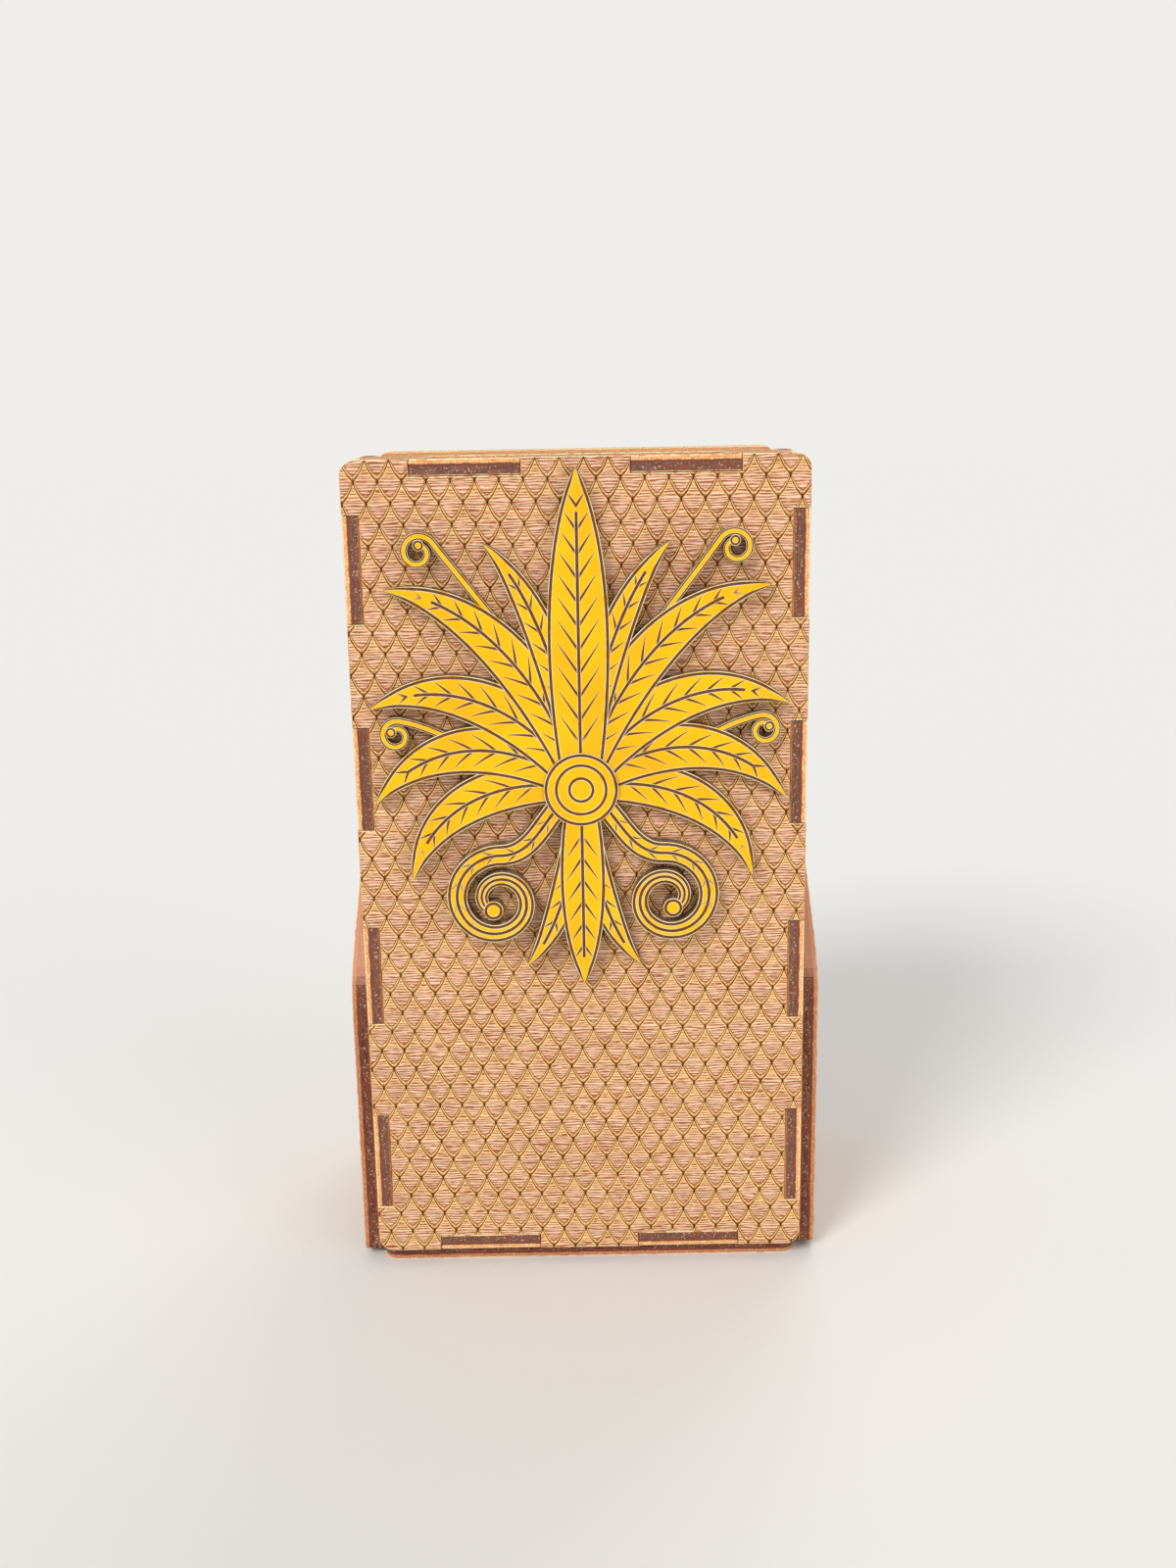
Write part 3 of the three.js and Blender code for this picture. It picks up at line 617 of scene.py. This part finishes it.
def engraved_slab(low, high, level, underside, origin):
    """A closed slab with the scales in its top. Local axes: across, up along the face, out of it."""
    points, depths, faces, places = scale_net(low, high, origin)
    data = bpy.data.meshes.new("slab")
    data.from_pydata(np.column_stack([points, level - depths]).tolist(), [], faces.tolist())
    for name, column in (("scale_u", 0), ("scale_v", 1)):
        data.attributes.new(name, "FLOAT", "CORNER").data.foreach_set("value", places[:, column])
    mesh = bmesh.new()
    mesh.from_mesh(data)
    bpy.data.meshes.remove(data)
    rim = [edge for edge in mesh.edges if edge.is_boundary]
    walls = bmesh.ops.extrude_edge_only(mesh, edges=rim)["geom"]
    for item in walls:
        if isinstance(item, bmesh.types.BMVert):
            item.co.z = underside
    bmesh.ops.contextual_create(mesh, geom=[edge for edge in mesh.edges if edge.is_boundary])
    bmesh.ops.recalc_face_normals(mesh, faces=mesh.faces)
    return mesh


# Plates: a copy of the CAD node with its rims eased, in three materials


merge_reach = 0.002 * mm
flat_angle = math.radians(1)
# How far a plate's face and its edge point along its thickness, at least and at most
face_lean = 0.99
edge_lean = 0.3
burnt_rim_share, bright_rim_share = 0.35, 0.9
# how strongly the tray floor's top gets its orange band and its painted highlight
tray_top_tint_and_highlight_share = 0.85
oiled_shine, dull_shine = 0.08, 0.0


def plate_mesh(node):
    """The node's mesh in clean flat faces, its thickness axis, and its lowest place along that axis."""
    mesh = bmesh.new()
    mesh.from_mesh(frame["nodes"][node].data)
    bmesh.ops.remove_doubles(mesh, verts=mesh.verts, dist=merge_reach)
    bmesh.ops.dissolve_limit(
        mesh, angle_limit=flat_angle, verts=mesh.verts, edges=mesh.edges, use_dissolve_boundaries=False
    )
    biggest = max(mesh.faces, key=lambda face: face.calc_area())
    axis = biggest.normal.copy()
    if max(axis, key=abs) < 0:
        axis.negate()
    low = min(vertex.co.dot(axis) for vertex in mesh.verts)
    rims = []
    for edge in mesh.edges:
        if len(edge.link_faces) != 2 or not edge.is_convex:
            continue
        leans = sorted(abs(face.normal.dot(axis)) for face in edge.link_faces)
        if leans[0] < edge_lean and leans[1] > face_lean:
            rims.append(edge)
    bmesh.ops.bevel(mesh, geom=rims, offset=rim_ease, segments=1, affect="EDGES", clamp_overlap=True)
    for face in mesh.faces:
        lean = abs(face.normal.dot(axis))
        face.material_index = 0 if lean > face_lean else 1 if lean < edge_lean else 2
    return mesh, axis, low


def local_axes(axis, outward):
    """Across, up and out for a face, as the columns of a matrix."""
    out = Vector([0, 0, 0])
    out[axis] = outward
    up = Vector((0, 0, 1)) if axis != 2 else Vector((0, -1, 0))
    across = up.cross(out)
    return Matrix((across, up, out)).transposed()


rim_material = pale_rim("pale_rim")


def engrave(piece, node, axis, outward, scales):
    """Trims one face of the piece to a slab with the scales in its top."""
    turn = local_axes(axis, outward)
    corners = [turn.transposed() @ Vector(corner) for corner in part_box(node)]
    across, up, out = [(min(ends), max(ends)) for ends in zip(*corners)]
    face = max(vertex.co.dot(turn.col[2]) for vertex in piece.data.vertices)
    low, high = (across[0], up[0]), (across[1], up[1])
    slab = engraved_slab(low, high, face - face_skin, out[0] - slab_margin, (scale_shift, up[1]))
    bmesh.ops.transform(slab, matrix=turn.to_4x4(), verts=slab.verts)
    bmesh.ops.recalc_face_normals(slab, faces=slab.faces)
    data = bpy.data.meshes.new("slab")
    slab.to_mesh(data)
    slab.free()
    data.materials.append(scales)
    boolean(piece, object_of("slab", data), "INTERSECT")


def plate(node, grain_axis, engraved=()):
    """A plate with eased rims. engraved lists the faces with scales, each by its outward sign."""
    mesh, axis, low = plate_mesh(node)
    data = bpy.data.meshes.new(node + "_dressed")
    mesh.to_mesh(data)
    mesh.free()
    # The plates that stand out past the panel are burnt darker
    burnt = node.endswith("_wall") or node == "foot_plate"
    finish = (wall_core, wall_outer, burnt_rim_share) if burnt else (edge_core, edge_orange, bright_rim_share)
    middle = low + ply / 2
    outward = 1 if middle > axis.z * panel_height / 2 else -1
    data.materials.append(plain_wood(node + "_veneer", grain_axis))
    data.materials.append(burnt_edge(node + "_edge", axis, low, outward, *finish))
    data.materials.append(rim_material)
    piece = object_of(node + "_dressed", data)
    if engraved:
        # The camera looks along the roof, which would mirror the background
        shine = dull_shine if node == "roof_plate" else oiled_shine
        # The tray floor's top, seen above the roof, gets an orange band and a painted highlight along its
        # scalloped edge
        top_tint_and_highlight = tray_top_tint_and_highlight_share if node == "tray_floor" else 0.0
        scales = engraved_wood(node + "_scales", grain_axis, top_tint_and_highlight, shine)
    thick = max(range(3), key=lambda i: abs(axis[i]))
    for outward in engraved:
        engrave(piece, node, thick, outward, scales)
    place_on(piece, node)


# The ornament: bands along lines and round bosses, with a cut side, a pale rim and an engraved outline

# Each row of a profile: distance in from the edge, depth below the top, and the finish that follows it
line_depth = 0.065 * mm
edge_profile = [
    (0.0, 0.1 * mm, "rim"),
    (0.1 * mm, 0.0, "rim"),
    (0.16 * mm, 0.0, "wall"),
    (0.28 * mm, line_depth, "line"),
    (0.6 * mm, line_depth, "wall"),
    (0.72 * mm, 0.0, "rim"),
    (0.84 * mm, 0.0, "gold"),
]
# The same for a leaf's rib, from its middle line
rib_profile = [
    (0.4 * mm, 0.0, "rim"),
    (0.3 * mm, 0.0, "wall"),
    (0.18 * mm, line_depth, "line"),
]
# And for an engraved ring of the boss, from where the ring starts
ring_profile = [
    (0.0, 0.0, "rim"),
    (0.1 * mm, 0.0, "wall"),
    (0.22 * mm, line_depth, "line"),
    (0.52 * mm, line_depth, "wall"),
    (0.64 * mm, 0.0, "rim"),
    (0.76 * mm, 0.0, "gold"),
]
ring_insets = [2.1 * mm, 4.7 * mm]
lowest_top = 2.5 * mm  # the tendrils' height, below all the other parts
layer_step = 0.07 * mm
profile_room = 1.55 * mm  # half width that the whole profile needs
leaf_rib_share = 0.82
ornament_finishes = ["side", "rim", "wall", "line", "gold"]
leaf_steps = 48
stalk_steps = 24
curl_steps = 72
ring_steps = 72
vein_spacing = 4.6  # in mm, as the leaf's own numbers
# Those numbers, at each corner of a face: how far along the leaf, how far off its middle, and half its width
leaf_numbers = ("leaf_along", "leaf_across", "leaf_half")


def bezier(points, steps):
    places = np.linspace(0, 1, steps + 1)[:, None]
    first, second, third, last = [np.asarray(point, float) for point in points]
    rest = 1 - places
    ends = rest**3 * first + places**3 * last
    return ends + 3 * places * rest**2 * second + 3 * places**2 * rest * third


def from_heart(side, angle, distance):
    return heart + distance * np.array([side * math.sin(angle), math.cos(angle)])


def ornament_object(mesh):
    """The mesh, drawn in X and Z with its height as third value, on the back panel."""
    for vertex in mesh.verts:
        x, z, height = vertex.co
        vertex.co = (x, emblem_back - height, z)
    bmesh.ops.remove_doubles(mesh, verts=mesh.verts, dist=merge_reach / 2)
    bmesh.ops.recalc_face_normals(mesh, faces=mesh.faces)
    data = bpy.data.meshes.new("ornament_part")
    mesh.to_mesh(data)
    mesh.free()
    for material in ornament_materials:
        data.materials.append(material)
    return object_of("ornament_part", data)


def band_row(half, top, rib_strength):
    """A band's cross-section: offsets from its middle line with depths below its top, edge to edge."""
    share = min(1.0, half / profile_room)
    wing = [(half, top)]
    wing += [(half - inset * share, depth * share) for inset, depth, _ in edge_profile]
    wing += [(inset * share, depth * share * rib_strength) for inset, depth, _ in rib_profile]
    return wing + [(-offset, depth) for offset, depth in wing[::-1]]


def band_object(points, halves, top, rib_share):
    """A band with the edge profile along a line, from the line's points and half its width at each."""
    mesh = bmesh.new()
    layers = [mesh.loops.layers.float.new(name) for name in leaf_numbers]
    tangents = np.gradient(points, axis=0)
    tangents /= np.linalg.norm(tangents, axis=1)[:, None]
    normals = np.stack([-tangents[:, 1], tangents[:, 0]], axis=1)
    lengths = np.concatenate([[0], np.cumsum(np.linalg.norm(np.diff(points, axis=0), axis=1))])
    last = len(points) - 1
    rows = []
    for i, (point, half) in enumerate(zip(points, halves)):
        rib_strength = 1 if 0 < i <= rib_share * last else 0
        row = []
        for offset, depth in band_row(half, top, rib_strength):
            place = point + normals[i] * offset
            row.append((mesh.verts.new((place[0], place[1], top - depth)), lengths[i], offset, half))
        rows.append(row)
    edge_finishes = ["side"] + [finish for _, _, finish in edge_profile]
    ribbed_finishes = [finish for _, _, finish in rib_profile]
    plain_finishes = ["gold"] * len(rib_profile)

    def add_face(corners, finish):
        face = mesh.faces.new([corner[0] for corner in corners])
        face.material_index = ornament_finishes.index(finish)
        for loop, corner in zip(face.loops, corners):
            for layer, value in zip(layers, corner[1:]):
                loop[layer] = value / mm

    for i in range(last):
        here, there = rows[i], rows[i + 1]
        ribbed = 0 < i < rib_share * last - 1
        half_finishes = edge_finishes + (ribbed_finishes if ribbed else plain_finishes)
        for j, finish in enumerate(half_finishes + half_finishes[-2::-1]):
            add_face([here[j], here[j + 1], there[j + 1], there[j]], finish)
        add_face([here[0], there[0], there[-1], here[-1]], "side")
    add_face(rows[0], "side")
    if halves[-1] > 0:
        add_face(rows[-1][::-1], "side")
    return ornament_object(mesh)


def disc_object(centre, profile, top):
    """A round piece. Each row of the profile: radius, depth below the top, and the finish inside it."""
    mesh = bmesh.new()
    for name in leaf_numbers:
        mesh.loops.layers.float.new(name)
    rings = []
    for radius, depth, _ in [(profile[0][0], top, "side")] + profile:
        ring = []
        for i in range(ring_steps):
            angle = 2 * math.pi * i / ring_steps
            place = centre + radius * np.array([math.cos(angle), math.sin(angle)])
            ring.append(mesh.verts.new((place[0], place[1], top - depth)))
        rings.append(ring)
    finishes = ["side"] + [finish for _, _, finish in profile]
    for low, high, finish in zip(rings, rings[1:], finishes):
        for i in range(ring_steps):
            following = (i + 1) % ring_steps
            face = mesh.faces.new([low[i], low[following], high[following], high[i]])
            face.material_index = ornament_finishes.index(finish)
    mesh.faces.new(rings[0]).material_index = ornament_finishes.index("side")
    mesh.faces.new(rings[-1]).material_index = ornament_finishes.index(finishes[-1])
    return ornament_object(mesh)


def leaf_object(side, shares, top):
    length = shares["length"] * emblem_height
    bends = [
        from_heart(side, (shares["lean"] + turn * shares["curl"]) * math.pi, along * length)
        for along, turn in spine_shares
    ]
    points = bezier([heart, *bends], leaf_steps)
    place = leaf_root_share + (1 - leaf_root_share) * np.linspace(0, 1, leaf_steps + 1)
    halves = np.abs(np.sin(np.pi * place)) ** leaf_fullness * shares["width"] * emblem_width / 2
    halves[-1] = 0
    return band_object(points, halves, top, leaf_rib_share)


def curl_objects(side, widths, shares, top, rib_share):
    centre = np.array([side * shares["x"] * emblem_width, emblem_bottom + shares["z"] * emblem_height])
    along = np.linspace(0, 1, curl_steps + 1)
    angles = 2 * np.pi * (shares["start"] - shares["turns"] * along)
    radii = (shares["outer"] + (shares["eye"] - shares["outer"]) * along) * emblem_width
    spiral = centre + radii[:, None] * np.stack([side * np.cos(angles), np.sin(angles)], axis=1)
    hold = shares["hold"] * np.linalg.norm(spiral[0] - heart)
    onward = (spiral[1] - spiral[0]) / np.linalg.norm(spiral[1] - spiral[0])
    leave = from_heart(side, shares["leave"] * math.pi, hold)
    stalk = bezier([heart, leave, spiral[0] - hold * onward, spiral[0]], stalk_steps)
    curl_widths = widths[0] + (widths[1] - widths[0]) * along
    halves = np.concatenate([np.full(stalk_steps, widths[0]), curl_widths]) / 2
    band = band_object(np.concatenate([stalk[:-1], spiral]), halves, top, rib_share)
    radius = eye_share * widths[1]
    share = min(1.0, radius / profile_room)
    profile = [(radius - inset * share, depth * share, finish) for inset, depth, finish in edge_profile]
    return [band, disc_object(spiral[-1], profile, top + layer_step)]


ornament_materials = [
    ornament_edge("ornament_side"),
    painted_rim("ornament_rim"),
    engraved_line("ornament_wall", gold_dark, char_dark),
    engraved_line("ornament_line", gold_line, gold_dark),
    gold_wood("ornament_gold"),
]


def ornament():
    top = lowest_top
    parts = []
    for shares in (upper_tendril_shares, lower_tendril_shares):
        for side in (-1, 1):
            parts += curl_objects(side, tendril_widths, shares, top, 0)
    for shares in fan_leaf_shares[::-1]:
        top += layer_step
        parts += [leaf_object(side, shares, top) for side in (-1, 1)]
    top += layer_step
    parts.append(leaf_object(1, crown_shares, top))
    for side in (-1, 1):
        parts += curl_objects(side, scroll_widths, scroll_shares, top, 1)
    top += 2 * layer_step
    parts += [leaf_object(side, low_leaf_shares, top) for side in (-1, 1)]
    top += layer_step
    parts.append(leaf_object(1, pendant_shares, top))
    insets = edge_profile + [
        (start + inset, depth, finish) for start in ring_insets for inset, depth, finish in ring_profile
    ]
    boss = [(heart_radius - inset, depth, finish) for inset, depth, finish in insets]
    parts.append(disc_object(heart, boss, emblem_thickness))
    whole = parts.pop()
    whole.name = "emblem_dressed"
    for part in parts:
        boolean(whole, part, "UNION")
    place_on(whole, "emblem")
    return whole


# Dowels and magnets


def turned(node, material, axis, ease):
    """A round piece along an axis, with eased rims and slightly dished ends."""
    low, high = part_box(node)
    size = high - low
    radius = size[(axis + 1) % 3] / 2
    half = size[axis] / 2
    dish = ease / 2
    profile = [(0.0, -half + dish), (radius - ease, -half), (radius, -half + ease)]
    profile += [(radius, half - ease), (radius - ease, half), (0.0, half - dish)]
    mesh = bmesh.new()
    rings = []
    for reach, along in profile:
        if reach == 0:
            rings.append([mesh.verts.new((0, 0, along))])
            continue
        ring = []
        for i in range(ring_steps):
            angle = 2 * math.pi * i / ring_steps
            ring.append(mesh.verts.new((reach * math.cos(angle), reach * math.sin(angle), along)))
        rings.append(ring)
    for low_ring, high_ring in zip(rings, rings[1:]):
        for i in range(ring_steps):
            following = (i + 1) % ring_steps
            corners = [low_ring[i % len(low_ring)], low_ring[following % len(low_ring)]]
            corners += [high_ring[following % len(high_ring)], high_ring[i % len(high_ring)]]
            mesh.faces.new(list(dict.fromkeys(corners)))
    direction = Vector([1.0 if i == axis else 0.0 for i in range(3)])
    turn = direction.to_track_quat("Z", "Y").to_matrix().to_4x4()
    bmesh.ops.transform(mesh, matrix=Matrix.Translation((low + high) / 2) @ turn, verts=mesh.verts)
    bmesh.ops.recalc_face_normals(mesh, faces=mesh.faces)
    data = bpy.data.meshes.new(node + "_dressed")
    mesh.to_mesh(data)
    mesh.free()
    data.materials.append(material)
    place_on(object_of(node + "_dressed", data), node)


# The pieces. A plate's first number is the axis of its grain, and its list the faces that carry scales

plate("back_panel", 0, [-1])
plate("front_panel", 0, [1])
plate("left_side", 1, [-1])
plate("right_side", 1, [1])
plate("roof_plate", 0, [1])
plate("tray_floor", 0, [-1, 1])
plate("tray_left_wall", 2, [-1])
plate("tray_right_wall", 2, [1])
plain_plates = ["bottom_plate", "foot_plate", "upper_baffle", "middle_baffle", "lower_baffle"]
plain_plates += ["exit_ramp", "tray_lip"]
for node in plain_plates:
    plate(node, 0)
ornament()

pin_ease = 0.25 * mm
magnet_ease = 0.2 * mm
dowel_material = dowel_wood("dowel_wood")
nickel_material = nickel("nickel_plate")
for node in ("left_hinge_pin", "right_hinge_pin"):
    turned(node, dowel_material, 0, pin_ease)
for node in ("left_tower_magnet", "right_tower_magnet", "left_tray_magnet", "right_tray_magnet"):
    turned(node, nickel_material, 1, magnet_ease)

# Camera, fitted to the photograph

camera_place = Vector((1.12 * mm, -323.04 * mm, 173.92 * mm))
camera_pitch = math.radians(13.166)
camera_yaw = math.radians(0.048)
camera_roll = math.radians(-1.004)
frame_pixels = 1600  # the photograph's height
focal_pixels = 1540
film_height = 36  # in mm, as a Blender camera has it
nearest_seen = 10 * mm


def add_camera():
    data = bpy.data.cameras.new("photo_camera")
    data.sensor_fit = "VERTICAL"
    data.sensor_height = film_height
    data.lens = film_height * focal_pixels / frame_pixels
    data.clip_start = nearest_seen
    camera = object_of("photo_camera", data)
    forward = Vector(
        (
            math.cos(camera_pitch) * math.sin(camera_yaw),
            math.cos(camera_pitch) * math.cos(camera_yaw),
            -math.sin(camera_pitch),
        )
    )
    right = Vector((math.cos(camera_yaw), -math.sin(camera_yaw), 0))
    down = forward.cross(right)
    # The photograph is rolled a little about its own middle
    rolled_right = math.cos(camera_roll) * right - math.sin(camera_roll) * down
    rolled_down = math.sin(camera_roll) * right + math.cos(camera_roll) * down
    turn = Matrix((rolled_right, -rolled_down, -forward)).transposed().to_4x4()
    camera.matrix_world = Matrix.Translation(camera_place) @ turn
    bpy.context.scene.camera = camera


# Stage and light: a level pale floor, and a background of the floor's own brightness

floor_radius = 8000 * mm
floor_steps = 96
floor_pale = paint(236, 235, 232)
floor_light = 1.03  # light on the open floor, as a share of what makes a colour render as it is written
floor_roughness = 0.9
sky_light = 0.55
# Each lamp: the place that it shines from, its strength, and the degrees of sky that it fills
lamps = {
    "key": ((-0.55, -0.75, 0.85), 1.45, 22),
    "fill": ((0.8, -0.7, 0.35), 0.62, 40),
    "back": ((0.3, 0.9, 0.8), 0.7, 36),
}


def add_floor():
    mesh = bmesh.new()
    bmesh.ops.create_circle(mesh, cap_ends=True, segments=floor_steps, radius=floor_radius)
    data = bpy.data.meshes.new("stage_floor")
    mesh.to_mesh(data)
    mesh.free()
    shader = Shader("stage_paper")
    data.materials.append(shader.finish(floor_pale, floor_roughness, Specular_IOR_Level=0.0))
    object_of("stage_floor", data)


def add_sun(name, place, strength, spread):
    """A broad soft light from a place toward the tower's middle."""
    data = bpy.data.lights.new(name, "SUN")
    data.energy = strength
    data.angle = math.radians(spread)
    lamp = object_of(name, data)
    direction = Vector((0, 0, panel_height / 2)) - Vector(place)
    lamp.matrix_world = Matrix.Translation(place) @ direction.to_track_quat("-Z", "Y").to_matrix().to_4x4()


def add_world():
    """Even light from all round. Looked at, or mirrored in metal, it is as pale as the floor."""
    world = bpy.data.worlds.new("studio")
    bpy.context.scene.world = world
    world.use_nodes = True
    nodes, links = world.node_tree.nodes, world.node_tree.links
    rays = nodes.new("ShaderNodeLightPath")
    seen = rays.outputs["Is Camera Ray"]
    for kind in ("Is Glossy Ray", "Is Transmission Ray"):
        either = nodes.new("ShaderNodeMath")
        either.operation = "MAXIMUM"
        links.new(seen, either.inputs[0])
        links.new(rays.outputs[kind], either.inputs[1])
        seen = either.outputs[0]
    light = nodes["Background"]
    light.inputs["Color"].default_value = (1, 1, 1, 1)
    light.inputs["Strength"].default_value = sky_light
    pale = nodes.new("ShaderNodeBackground")
    pale.inputs["Color"].default_value = floor_pale
    pale.inputs["Strength"].default_value = floor_light
    both = nodes.new("ShaderNodeMixShader")
    links.new(seen, both.inputs[0])
    links.new(light.outputs[0], both.inputs[1])
    links.new(pale.outputs[0], both.inputs[2])
    links.new(both.outputs[0], nodes["World Output"].inputs["Surface"])


add_camera()
add_floor()
for name, (place, strength, spread) in lamps.items():
    add_sun(name, place, strength, spread)
add_world()
bpy.context.scene.view_settings.view_transform = "Standard"
